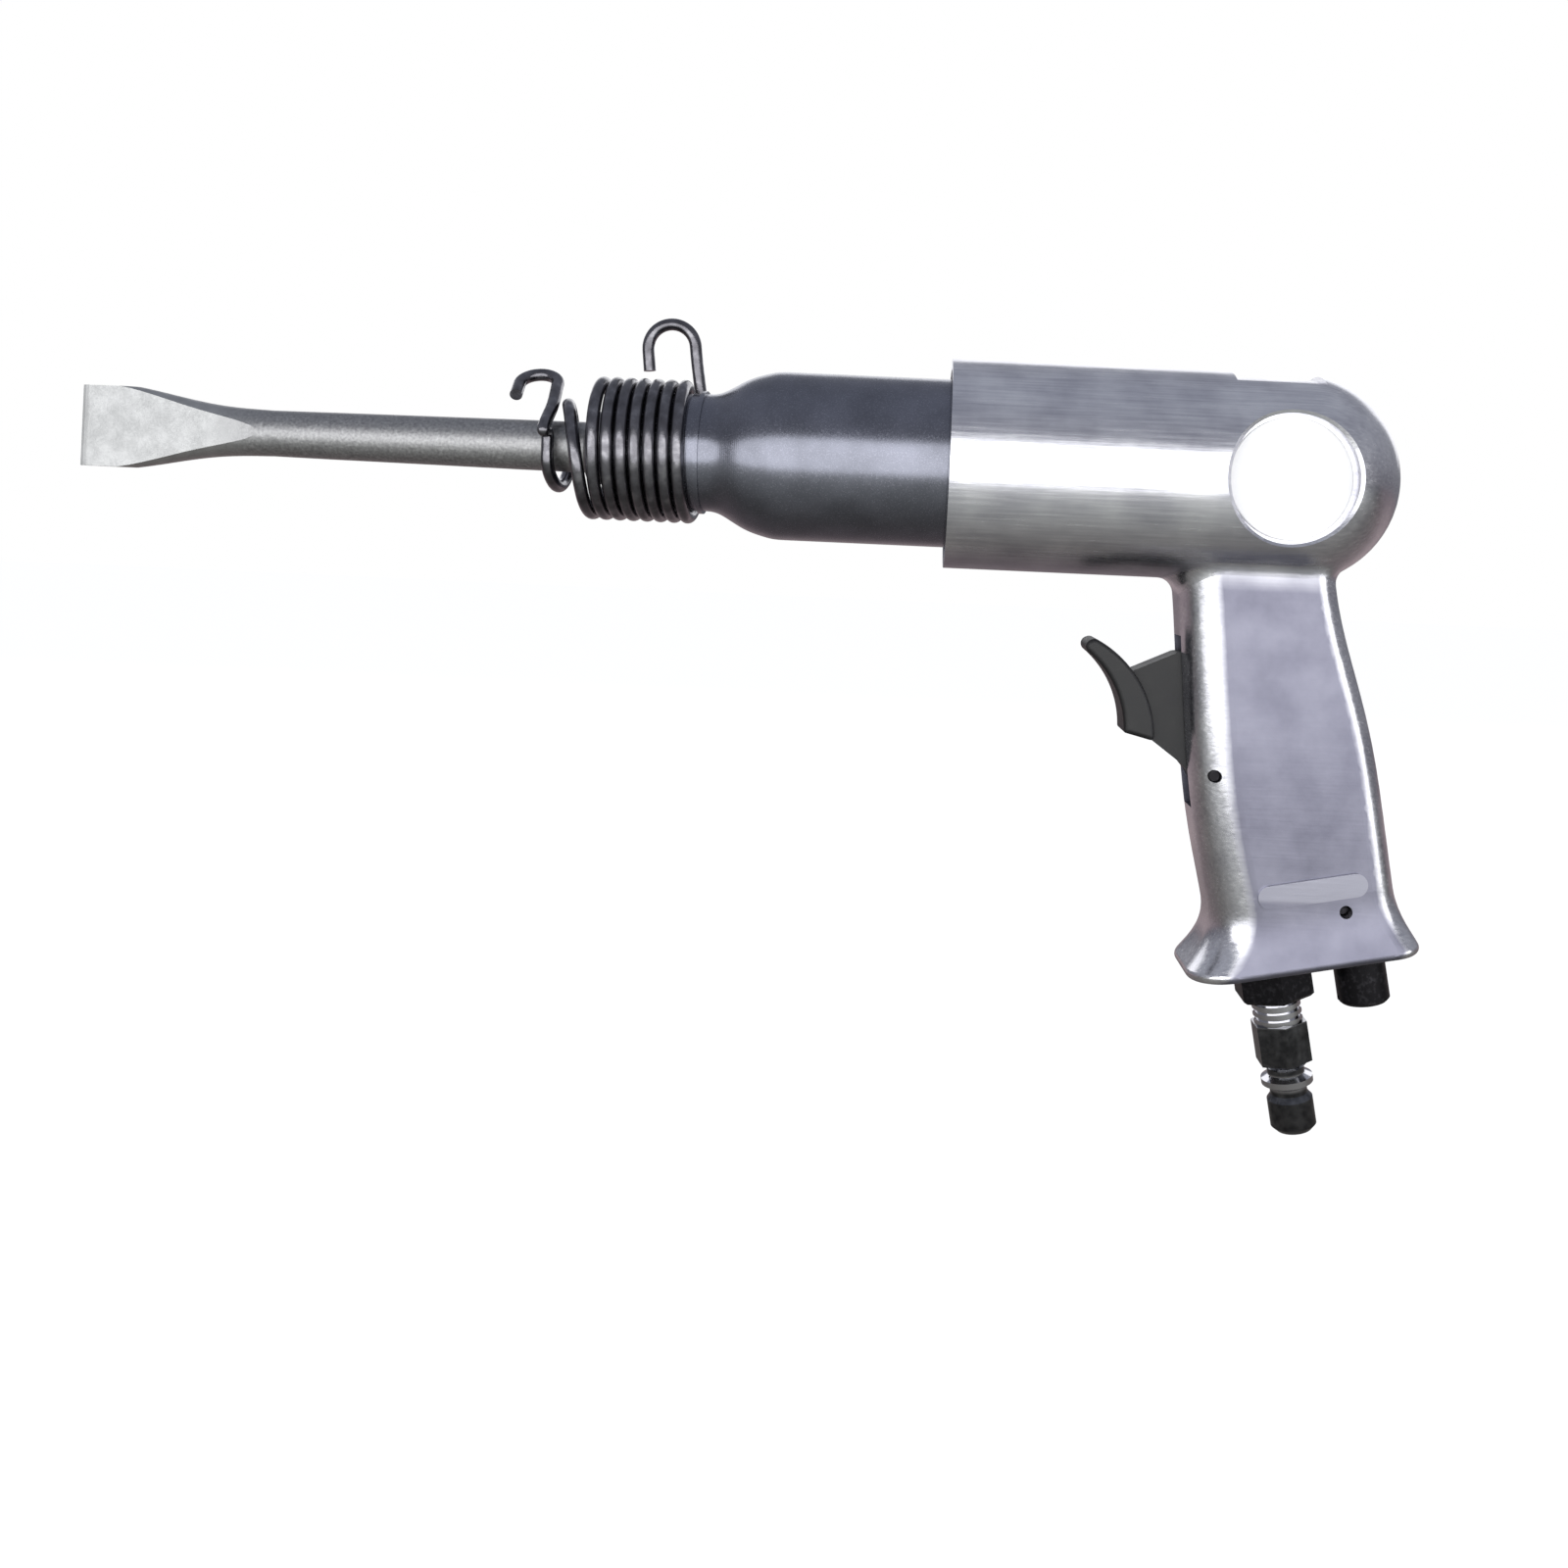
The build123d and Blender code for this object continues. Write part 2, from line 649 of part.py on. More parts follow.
# ---- trigger: moulded finger blade on a flat web -------------------------------------------
with BuildPart() as trigger:
    with BuildSketch(Plane.XZ) as blade_face:
        with BuildLine():
            ThreePointArc(*FINGER_SIDE)
            Line(FINGER_SIDE[-1], REAR_SIDE[0])
            ThreePointArc(*REAR_SIDE)
            Line(REAR_SIDE[-1], FINGER_SIDE[0])
        make_face()
        fillet(blade_face.vertices().sort_by(Axis.X)[:2], TIP_FILLET)
        fillet(blade_face.vertices().sort_by(Axis.Y)[:2], HEEL_FILLET)
    extrude(amount=BLADE_W / 2, both=True)
    fillet(trigger.faces().filter_by(Axis.Y).edges(), BLADE_FILLET)
    with BuildSketch(Plane.XZ):
        Polygon(*WEB_OUTLINE, align=None)
        with Locations(PIVOT):
            Circle(BOSS_R)
    extrude(amount=WEB_W / 2, both=True)
    with BuildSketch(cross_hole_plane(*PIVOT)):
        Circle(PIN_R + FIT)
    extrude(amount=PIN_HOLE_LEN, mode=Mode.SUBTRACT)
save(trigger.part, "trigger")

# ---- hinge pin of the trigger and retaining pin of the regulator -----------------------------
for name, (x, z) in (("trigger_pin", PIVOT), ("regulator_pin", (reg_pin_at.X, reg_pin_at.Z))):
    with BuildPart() as pin:
        with BuildSketch(side_plane(x, PIN_LEN / 2, z)):
            Circle(PIN_R)
        extrude(amount=-PIN_LEN)
        chamfer(pin.edges(), PIN_CHAMFER)
    save(pin.part, name)

# ---- throttle: bushing, stem with its poppet head, seal and return spring ---------------------
with BuildPart() as throttle_bushing:
    with BuildSketch(x_plane(BUSHING_X[0], z=STEM_Z)):
        Circle(THROTTLE_BORE_R)
        Circle(STEM_R + FIT, mode=Mode.SUBTRACT)
    extrude(amount=BUSHING_X[1] - BUSHING_X[0])
    with BuildSketch(x_plane(BUSHING_X[1], z=STEM_Z)):
        Circle(BUSHING_MOUTH_R)
    extrude(amount=-BUSHING_MOUTH, mode=Mode.SUBTRACT)
    with BuildSketch(Plane((RISER_X, 0, STEM_Z))):
        Circle(BUSHING_PORT_R)
    extrude(amount=THROTTLE_BORE_R + 1, mode=Mode.SUBTRACT)
save(throttle_bushing.part, "throttle_bushing")

with BuildPart() as throttle_stem:
    with BuildSketch(x_plane(STEM_FRONT, z=STEM_Z)):
        Circle(STEM_R)
    extrude(amount=POPPET_X - STEM_FRONT)
    fillet(throttle_stem.faces().sort_by(Axis.X)[0].edges(), STEM_TIP_FILLET)
    with BuildSketch(x_plane(POPPET_X, z=STEM_Z)):
        Circle(POPPET_R)
    extrude(amount=POPPET_T)
save(throttle_stem.part, "throttle_stem")

with BuildPart() as throttle_seal:
    seal_at = (POPPET_X - THROTTLE_SEAL_R - FIT, 0, STEM_Z + THROTTLE_SEAL_MEAN_R)
    with BuildSketch(Plane(seal_at, x_dir=(1, 0, 0), z_dir=(0, -1, 0))):
        Circle(THROTTLE_SEAL_R)
    revolve(axis=Axis((0, 0, STEM_Z), (1, 0, 0)))
save(throttle_seal.part, "throttle_o_ring")

with BuildPart() as throttle_spring:
    spring_from = POPPET_X + POPPET_T + SPRING_WIRE_R
    spring_to = THROTTLE_BORE_END - SPRING_WIRE_R
    spring_length = spring_to - spring_from
    with BuildLine() as spring_path:
        Helix(
            pitch=spring_length / SPRING_TURNS,
            height=spring_length,
            radius=SPRING_R,
            center=(spring_from, 0, STEM_Z),
            direction=(1, 0, 0),
        )
    with BuildSketch(Plane(origin=spring_path.line @ 0, z_dir=spring_path.line % 0)):
        Circle(SPRING_WIRE_R)
    sweep(path=spring_path.line, is_frenet=True)
save(throttle_spring.part, "throttle_spring")

# ---- air inlet: hex bushing, strainer, seal and quick-connect plug ------------------------------
with BuildPart() as inlet_bushing:
    with BuildSketch(grip_plane(INLET_TOP_S + INLET_BUSHING_GAP, INLET_U)):
        Circle(INLET_R)
    extrude(amount=BASE_S - INLET_TOP_S - INLET_BUSHING_GAP)
    with BuildSketch(grip_plane(BASE_S, INLET_U)):
        RegularPolygon(BUSHING_HEX_R, 6, rotation=30)
    extrude(amount=BUSHING_END_S - BASE_S)
    chamfer(inlet_bushing.faces().sort_by(Axis.Z)[0].outer_wire().edges(), HEX_CHAMFER)
    with BuildSketch(grip_plane(INLET_TOP_S, INLET_U)):
        Circle(PLUG_THREAD_R)
    extrude(amount=BUSHING_END_S - INLET_TOP_S + 1, mode=Mode.SUBTRACT)
    with BuildSketch(grip_plane(INLET_SEAL_S - INLET_GROOVE_W / 2, INLET_U)):
        Circle(INLET_R + 1)
        Circle(INLET_R - INLET_GROOVE_DEPTH, mode=Mode.SUBTRACT)
    extrude(amount=INLET_GROOVE_W, mode=Mode.SUBTRACT)
save(inlet_bushing.part, "inlet_bushing")

seal_plane = grip_plane(INLET_SEAL_S, INLET_U)
with BuildPart() as inlet_seal:
    with BuildSketch(Plane(seal_plane.origin, x_dir=seal_plane.x_dir, z_dir=(0, -1, 0))):
        with Locations((INLET_R - FIT - SMALL_SEAL_R, 0)):
            Circle(SMALL_SEAL_R)
    revolve(axis=Axis(seal_plane.origin, seal_plane.z_dir))
save(inlet_seal.part, "inlet_o_ring")

with BuildPart() as inlet_screen:
    with BuildSketch(grip_plane(INLET_TOP_S + 2, INLET_U)):
        Circle(PLUG_THREAD_R)
    extrude(amount=SCREEN_LEN)
    with BuildSketch(grip_plane(INLET_TOP_S + 2 + SCREEN_WALL, INLET_U)):
        Circle(PLUG_THREAD_R - SCREEN_WALL)
    extrude(amount=SCREEN_LEN, mode=Mode.SUBTRACT)
    with BuildSketch(grip_plane(INLET_TOP_S + 1, INLET_U)):
        with HexLocations(SCREEN_HOLE_GAP, SCREEN_GRID, SCREEN_GRID):
            Circle(SCREEN_HOLE_R)
    extrude(amount=SCREEN_LEN / 2, mode=Mode.SUBTRACT)
save(inlet_screen.part, "inlet_screen")

with BuildPart() as air_plug:
    plug_profile = grip_plane(0, INLET_U)
    with BuildSketch(Plane(plug_profile.origin, x_dir=plug_profile.z_dir, z_dir=(0, -1, 0))):
        with BuildLine():
            Polyline(
                (PLUG_TOP_S, PLUG_BORE_R),
                (PLUG_TOP_S, PLUG_THREAD_R - PLUG_CHAMFER),
                (PLUG_TOP_S + PLUG_CHAMFER, PLUG_THREAD_R),
                (PLUG_HEX_S[0], PLUG_THREAD_R),
                (PLUG_HEX_S[0], PLUG_BODY_R),
                (PLUG_HEX_S[1], PLUG_BODY_R),
                (PLUG_HEX_S[1] + PLUG_BODY_R - PLUG_WAIST_R, PLUG_WAIST_R),
                (RIDGE_S - RIDGE_RAMP, PLUG_WAIST_R),
                (RIDGE_S, RIDGE_R),
                (RIDGE_S + RIDGE_T, RIDGE_R),
                (RIDGE_S + RIDGE_T + 1, PLUG_WAIST_R),
                (PLUG_NOSE_S - 1.2, PLUG_WAIST_R),
                (PLUG_NOSE_S, PLUG_NOSE_R),
                (PLUG_END_S - PLUG_NOSE_CHAMFER, PLUG_NOSE_R),
                (PLUG_END_S, PLUG_NOSE_R - PLUG_NOSE_CHAMFER),
                (PLUG_END_S, PLUG_BORE_R),
                close=True,
            )
        make_face()
    revolve(axis=Axis(plug_profile.origin, plug_profile.z_dir))
    with BuildSketch(grip_plane(PLUG_HEX_S[0], INLET_U)):
        RegularPolygon(PLUG_HEX_R, 6, rotation=30)
        Circle(PLUG_BORE_R, mode=Mode.SUBTRACT)
    extrude(amount=PLUG_HEX_S[1] - PLUG_HEX_S[0])
    for ring in range(THREAD_RINGS):
        with BuildSketch(grip_plane(BUSHING_END_S + 0.5 + THREAD_STEP * ring, INLET_U)):
            Circle(PLUG_THREAD_R + 1)
            Circle(PLUG_THREAD_R - THREAD_DEPTH, mode=Mode.SUBTRACT)
        extrude(amount=THREAD_W, mode=Mode.SUBTRACT)
save(air_plug.part, "air_plug")

# ---- regulator: black knob on a stem that a cross pin keeps in ------------------------------------
with BuildPart() as regulator:
    with BuildSketch(grip_plane(REG_TOP_S, KNOB_U)):
        Circle(REG_R)
    extrude(amount=BASE_S + 1 - REG_TOP_S)
    with BuildSketch(grip_plane(BASE_S + KNOB_GAP, KNOB_U)):
        Circle(KNOB_R)
    extrude(amount=KNOB_END_S - BASE_S - KNOB_GAP)
    chamfer(regulator.faces().sort_by(Axis.Z)[0].edges(), KNOB_CHAMFER)
    for centre, half in REG_GROOVES:
        with BuildSketch(grip_plane(centre - half, KNOB_U)):
            Circle(REG_R + 1)
            Circle(REG_R - REG_GROOVE_DEPTH, mode=Mode.SUBTRACT)
        extrude(amount=2 * half, mode=Mode.SUBTRACT)
    with BuildSketch(grip_plane(KNOB_END_S, KNOB_U)):
        Rectangle(2 * KNOB_R + 1, KNOB_SLOT_W)
    extrude(amount=-KNOB_SLOT_DEPTH, mode=Mode.SUBTRACT)
save(regulator.part, "regulator_knob")

reg_seal_plane = grip_plane(REG_SEAL_S, KNOB_U)
with BuildPart() as regulator_seal:
    with BuildSketch(Plane(reg_seal_plane.origin, x_dir=reg_seal_plane.x_dir, z_dir=(0, -1, 0))):
        with Locations((REG_R + FIT - SMALL_SEAL_R - 0.15, 0)):
            Circle(SMALL_SEAL_R)
    revolve(axis=Axis(reg_seal_plane.origin, reg_seal_plane.z_dir))
save(regulator_seal.part, "regulator_o_ring")
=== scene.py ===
import bpy
import math
from mathutils import Matrix, Vector


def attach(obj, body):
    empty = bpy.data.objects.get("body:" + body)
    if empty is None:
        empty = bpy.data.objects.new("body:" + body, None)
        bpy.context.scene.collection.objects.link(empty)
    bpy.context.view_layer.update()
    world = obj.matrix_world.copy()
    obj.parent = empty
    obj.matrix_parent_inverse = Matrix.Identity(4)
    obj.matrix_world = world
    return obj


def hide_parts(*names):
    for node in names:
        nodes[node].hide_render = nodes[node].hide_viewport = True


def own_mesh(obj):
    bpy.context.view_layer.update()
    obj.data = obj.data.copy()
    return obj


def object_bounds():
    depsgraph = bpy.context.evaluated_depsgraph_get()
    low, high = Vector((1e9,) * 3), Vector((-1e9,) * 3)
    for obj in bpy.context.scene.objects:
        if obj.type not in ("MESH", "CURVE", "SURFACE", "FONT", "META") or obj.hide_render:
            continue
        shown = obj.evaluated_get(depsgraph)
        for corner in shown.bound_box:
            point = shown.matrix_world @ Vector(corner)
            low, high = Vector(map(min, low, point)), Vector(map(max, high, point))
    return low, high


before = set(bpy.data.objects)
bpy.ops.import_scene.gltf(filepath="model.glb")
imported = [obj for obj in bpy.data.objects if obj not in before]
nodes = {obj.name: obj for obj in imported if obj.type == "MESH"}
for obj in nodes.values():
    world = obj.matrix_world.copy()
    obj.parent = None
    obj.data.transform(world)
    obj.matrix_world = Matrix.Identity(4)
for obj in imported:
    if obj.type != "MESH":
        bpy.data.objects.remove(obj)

cad_box = [list(corner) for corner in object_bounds()]

# ---- stage -----------------------------------------------------------------------------------
# A pale studio floor and backdrop. One long soft box stands in front at head height; what is
# above is dim and cool, and the floor under the tool is in shadow, partly real and partly a
# painted shadow that only reflections see, which gives polished metal its bright middle band
# and its dark lower half.


def linear(hex_colour):
    """sRGB hex to the linear colour that a shader socket wants."""
    channels = [int(hex_colour[i:i + 2], 16) / 255 for i in (1, 3, 5)]
    return [c / 12.92 if c <= 0.04045 else ((c + 0.055) / 1.055) ** 2.4 for c in channels] + [1.0]


def add(tree, kind, links=(), **settings):
    """Adds one node, sets it, and links its inputs by (socket, from_node, output)."""
    node = tree.nodes.new(kind)
    for key, value in settings.items():
        if hasattr(node, key):
            setattr(node, key, value)
        else:
            node.inputs[key.replace("_", " ")].default_value = value
    for socket, source, output in links:
        tree.links.new(source.outputs[output], node.inputs[socket])
    return node


def stops(node, *pairs):
    """Sets a colour ramp's stops from (place, hex colour) pairs."""
    ramp = node.color_ramp
    while len(ramp.elements) < len(pairs):
        ramp.elements.new(0.5)
    for element, (place, colour) in zip(ramp.elements, pairs):
        element.position = place
        element.color = linear(colour)


world = bpy.data.worlds.new("studio_room")
bpy.context.scene.world = world
world.use_nodes = True
room = world.node_tree
room.nodes.clear()
aim = add(room, "ShaderNodeTexCoord")
split = add(room, "ShaderNodeSeparateXYZ", [("Vector", aim, "Generated")])
height = add(room, "ShaderNodeMapRange", [("Value", split, "Z")], From_Min=-1.0, From_Max=1.0)
tone = add(room, "ShaderNodeValToRGB", [("Fac", height, "Result")])
stops(tone, (0.0, "#5b5955"), (0.5, "#77777d"), (0.68, "#95979f"), (1.0, "#9da1ac"))
dim = add(room, "ShaderNodeBackground", [("Color", tone, "Color")])
paper = add(room, "ShaderNodeBackground", Color=linear("#ffffff"), Strength=1.0)
ray = add(room, "ShaderNodeLightPath")
mix = add(room, "ShaderNodeMixShader", [("Fac", ray, "Is Camera Ray")])
room.links.new(dim.outputs[0], mix.inputs[1])
room.links.new(paper.outputs[0], mix.inputs[2])
add(room, "ShaderNodeOutputWorld", [("Surface", mix, "Shader")])

bpy.context.scene.view_settings.view_transform = "Standard"

FLOOR_GAP = 0.004
FLOOR_Z = cad_box[0][2] - FLOOR_GAP
FLOOR_HALF = 3.0
floor_mesh = bpy.data.meshes.new("studio_floor")
floor_mesh.from_pydata(
    [(x * FLOOR_HALF, y * FLOOR_HALF, FLOOR_Z) for x, y in ((-1, -1), (1, -1), (1, 1), (-1, 1))],
    [],
    [(0, 1, 2, 3)],
)
floor = bpy.data.objects.new("studio_floor", floor_mesh)
bpy.context.scene.collection.objects.link(floor)
# Gives a clean pale ground with a soft shadow.
paper_board = bpy.data.materials.new("white_paper_board")
paper_board.use_nodes = True
board = paper_board.node_tree
board.nodes.clear()
# The board shines evenly to the eye and keeps a soft shadow; what it throws back up at the
# tool is painted instead: a painted shadow under the tool and a painted pinkish reflection
# behind it.
lit = add(board, "ShaderNodeEmission", Strength=1.24)
shaded = add(board, "ShaderNodeBsdfDiffuse", Color=linear("#f6f6f8"))
seen = add(board, "ShaderNodeMixShader", [(1, lit, 0), (2, shaded, 0)], Fac=0.26)
spot = add(board, "ShaderNodeTexCoord")
across = add(board, "ShaderNodeSeparateXYZ", [("Vector", spot, "Object")])
# Painted shade seen only in reflections: darker where the tool stands, pinkish behind it.
depth = add(board, "ShaderNodeMapRange", [("Value", across, "Y")], From_Min=-0.5, From_Max=0.5)
tone = add(board, "ShaderNodeValToRGB", [("Fac", depth, "Result")])
stops(tone, (0.0, "#cdcec9"), (0.35, "#b7b8b1"), (0.5, "#8d8982"), (0.62, "#a29490"), (0.8, "#d6c2be"))
painted_floor_shade_and_tint = add(board, "ShaderNodeBsdfDiffuse", [("Color", tone, "Color")])
ray = add(board, "ShaderNodeLightPath")
mix = add(board, "ShaderNodeMixShader", [("Fac", ray, "Is Camera Ray"), (1, painted_floor_shade_and_tint, 0), (2, seen, 0)])
add(board, "ShaderNodeOutputMaterial", [("Surface", mix, 0)])
floor_mesh.materials.append(paper_board)


def soft_box(name, place, target, size, watts):
    """A rectangular soft box that faces a point."""
    light = bpy.data.lights.new(name, "AREA")
    light.shape = "RECTANGLE"
    light.size, light.size_y = size
    light.energy = watts
    box = bpy.data.objects.new(name, light)
    bpy.context.scene.collection.objects.link(box)
    box.location = place
    box.visible_camera = False
    box.rotation_euler = (Vector(target) - Vector(place)).to_track_quat("-Z", "Y").to_euler()


soft_box("front_box", (-0.05, -0.40, 0.006), (-0.05, 0.0, 0.006), (1.8, 0.32), 3.9)
soft_box("back_box", (-0.10, 0.80, 0.30), (-0.10, 0.0, 0.0), (1.6, 0.4), 2.2)

# The camera looks square at the tool's left side from arm's length. It is rolled a little,
# so that the chisel points slightly uphill.
STAND_OFF = 0.350
ROLL = math.radians(2.57)
camera_data = bpy.data.cameras.new("camera")
camera = bpy.data.objects.new("camera", camera_data)
bpy.context.scene.collection.objects.link(camera)
bpy.context.scene.camera = camera
camera_data.sensor_width = 36.0
camera_data.lens = 33.5
camera_data.shift_x = -0.083
camera_data.shift_y = -0.156
camera_data.clip_start = 0.01
camera.rotation_mode = "QUATERNION"
upright = Matrix.Rotation(math.radians(90), 3, "X")
camera.rotation_quaternion = (Matrix.Rotation(-ROLL, 3, "Y") @ upright).to_quaternion()
camera.location = (-0.0926, -STAND_OFF, -0.0185)

# ---- head and grip ---------------------------------------------------------------------------
# One sand casting in aluminium alloy. The head and the grip's rounded edges are polished
# bright on a mop, which leaves fine lines along the head and soft waves. The grip's flat
# sides are only linished, so they stay a duller lavender grey with blotches.

# Gives a bright band along the head over soft dark waves, and duller lavender sides.
cast = bpy.data.materials.new("polished_cast_aluminium")
cast.use_nodes = True
t = cast.node_tree
skin = t.nodes["Principled BSDF"]
skin.inputs["Metallic"].default_value = 1.0
at = add(t, "ShaderNodeTexCoord")
along = add(t, "ShaderNodeMapping", [("Vector", at, "Object")], Scale=(60, 1500, 1500))
lines = add(t, "ShaderNodeTexNoise", [("Vector", along, "Vector")], Scale=1.0, Detail=4.0)
cloud = add(t, "ShaderNodeTexNoise", [("Vector", at, "Object")], Scale=90.0, Detail=5.0)
facing = add(t, "ShaderNodeSeparateXYZ", [("Vector", at, "Normal")])
turned = add(t, "ShaderNodeMath", [("Value", facing, "X")], operation="ABSOLUTE")
flat = add(t, "ShaderNodeMapRange", [("Value", turned, "Value")], From_Min=0.34, From_Max=0.12)
place = add(t, "ShaderNodeSeparateXYZ", [("Vector", at, "Object")])
low = add(t, "ShaderNodeMapRange", [("Value", place, "Z")], From_Min=-0.019, From_Max=-0.027)
panel = add(t, "ShaderNodeMath", [(0, flat, "Result"), (1, low, "Result")], operation="MULTIPLY")
streak = add(t, "ShaderNodeMixRGB", [("Color1", cloud, "Fac"), ("Color2", lines, "Fac")], Fac=0.4)
bright = add(t, "ShaderNodeValToRGB", [("Fac", streak, "Color")])
stops(bright, (0.35, "#c6c6ce"), (0.65, "#f0f0f4"))
dull = add(t, "ShaderNodeValToRGB", [("Fac", cloud, "Fac")])
stops(dull, (0.3, "#727280"), (0.7, "#8e8e9c"))
# The raised pad on the near side of the grip is given a lighter lavender grey.
raised = add(t, "ShaderNodeMapRange", [("Value", place, "Y")], From_Min=-0.01475, From_Max=-0.01500)
above_flare = add(t, "ShaderNodeMapRange", [("Value", place, "Z")], From_Min=-0.0985, From_Max=-0.0975)
pad = add(t, "ShaderNodeMath", [(0, raised, "Result"), (1, above_flare, "Result")], operation="MULTIPLY")
pad_tone = add(t, "ShaderNodeRGB")
pad_tone.outputs[0].default_value = linear("#a6a6b2")
side = add(t, "ShaderNodeMixRGB", [("Fac", pad, 0), ("Color1", dull, "Color"), ("Color2", pad_tone, 0)])
shade = add(
    t, "ShaderNodeMixRGB", [("Fac", panel, 0), ("Color1", bright, "Color"), ("Color2", side, "Color")]
)
t.links.new(shade.outputs["Color"], skin.inputs["Base Color"])
polish = add(t, "ShaderNodeMapRange", [("Value", lines, "Fac")], To_Min=0.15, To_Max=0.33)
satin = add(t, "ShaderNodeMapRange", [("Value", cloud, "Fac")], To_Min=0.34, To_Max=0.50)
rough = add(t, "ShaderNodeMix", [("Factor", panel, 0), ("A", polish, "Result"), ("B", satin, "Result")])
t.links.new(rough.outputs[0], skin.inputs["Roughness"])
scratch = add(t, "ShaderNodeBump", [("Height", lines, "Fac")], Strength=0.09, Distance=0.0002)
wave = add(
    t, "ShaderNodeBump", [("Height", cloud, "Fac"), ("Normal", scratch, "Normal")], Strength=0.10, Distance=0.0008
)
t.links.new(wave.outputs["Normal"], skin.inputs["Normal"])


def finish_with(material, *names):
    """Gives CAD nodes a material in all their slots."""
    for name in names:
        mesh = nodes[name].data
        if not mesh.materials:
            mesh.materials.append(material)
        for i in range(len(mesh.materials)):
            mesh.materials[i] = material


finish_with(cast, "housing")

# ---- blank plates ----------------------------------------------------------------------------
# A plain white disc, taken to be anodised plate, sits in the round recess on each side of
# the head. Its face is smooth and matt, with a faint even tooth.
# Gives an even white with no highlight.
plate = bpy.data.materials.new("matt_white_anodised_plate")
plate.use_nodes = True
t = plate.node_tree
skin = t.nodes["Principled BSDF"]
at = add(t, "ShaderNodeTexCoord")
tooth = add(t, "ShaderNodeTexNoise", [("Vector", at, "Object")], Scale=2500.0, Detail=2.0)
shade = add(t, "ShaderNodeValToRGB", [("Fac", tooth, "Fac")])
stops(shade, (0.3, "#fbfbfc"), (0.7, "#ffffff"))
t.links.new(shade.outputs["Color"], skin.inputs["Base Color"])
skin.inputs["Roughness"].default_value = 0.55
grain = add(t, "ShaderNodeBump", [("Height", tooth, "Fac")], Strength=0.05, Distance=0.0001)
t.links.new(grain.outputs["Normal"], skin.inputs["Normal"])
finish_with(plate, "nameplate_left", "nameplate_right")

# ---- barrel ----------------------------------------------------------------------------------
# Turned from alloy steel bar, then hardened and chemically blackened. The lathe leaves fine
# rings, the blacking a dark satin skin with a bluish sheen and a fine grain of paler specks.
# Gives a dark satin tube with a bright line along it.
gunmetal = bpy.data.materials.new("blackened_turned_steel")
gunmetal.use_nodes = True
t = gunmetal.node_tree
skin = t.nodes["Principled BSDF"]
skin.inputs["Metallic"].default_value = 1.0
at = add(t, "ShaderNodeTexCoord")
TOOL_MARK = 0.0005
place = add(t, "ShaderNodeSeparateXYZ", [("Vector", at, "Object")])
turn = add(t, "ShaderNodeMath", [("Value", place, "X")], operation="MULTIPLY")
turn.inputs[1].default_value = 2 * math.pi / TOOL_MARK
ring = add(t, "ShaderNodeMath", [("Value", turn, "Value")], operation="SINE")
grit = add(t, "ShaderNodeTexNoise", [("Vector", at, "Object")], Scale=2600.0, Detail=3.0)
cloud = add(t, "ShaderNodeTexNoise", [("Vector", at, "Object")], Scale=120.0, Detail=4.0)
shade = add(t, "ShaderNodeValToRGB", [("Fac", cloud, "Fac")])
stops(shade, (0.25, "#70727b"), (0.75, "#868893"))
fleck = add(t, "ShaderNodeValToRGB", [("Fac", grit, "Fac")])
stops(fleck, (0.5, "#000000"), (0.8, "#8e8e98"))
tint = add(
    t, "ShaderNodeMixRGB", [("Color1", shade, "Color"), ("Color2", fleck, "Color")], blend_type="ADD", Fac=0.3
)
t.links.new(tint.outputs["Color"], skin.inputs["Base Color"])
rough = add(t, "ShaderNodeMapRange", [("Value", grit, "Fac")], To_Min=0.14, To_Max=0.34)
t.links.new(rough.outputs["Result"], skin.inputs["Roughness"])
lathe = add(t, "ShaderNodeBump", [("Height", ring, "Value")], Strength=0.05, Distance=0.00005)
grain = add(
    t, "ShaderNodeBump", [("Height", grit, "Fac"), ("Normal", lathe, "Normal")], Strength=0.07, Distance=0.0001
)
t.links.new(grain.outputs["Normal"], skin.inputs["Normal"])
finish_with(gunmetal, "barrel")

# ---- retainer spring -------------------------------------------------------------------------
# Coiled from 3 mm music wire and dipped in oil while hot. The skin is dark and slightly
# brown, with lengthwise drawing lines, rubbed paler on the outside of each coil.
# Gives dark coils, each with a short glossy glint.
wire = bpy.data.materials.new("oil_blackened_spring_wire")
wire.use_nodes = True
t = wire.node_tree
skin = t.nodes["Principled BSDF"]
skin.inputs["Metallic"].default_value = 1.0
at = add(t, "ShaderNodeTexCoord")
cloud = add(t, "ShaderNodeTexNoise", [("Vector", at, "Object")], Scale=350.0, Detail=4.0)
grit = add(t, "ShaderNodeTexNoise", [("Vector", at, "Object")], Scale=3200.0, Detail=2.0)
shade = add(t, "ShaderNodeValToRGB", [("Fac", cloud, "Fac")])
stops(shade, (0.3, "#5d5c60"), (0.55, "#76757a"), (0.8, "#a09fa3"))
t.links.new(shade.outputs["Color"], skin.inputs["Base Color"])
rough = add(t, "ShaderNodeMapRange", [("Value", cloud, "Fac")], To_Min=0.30, To_Max=0.12)
t.links.new(rough.outputs["Result"], skin.inputs["Roughness"])
grain = add(t, "ShaderNodeBump", [("Height", grit, "Fac")], Strength=0.15, Distance=0.0001)
t.links.new(grain.outputs["Normal"], skin.inputs["Normal"])
finish_with(wire, "retainer_spring", "barrel_lock_ring")

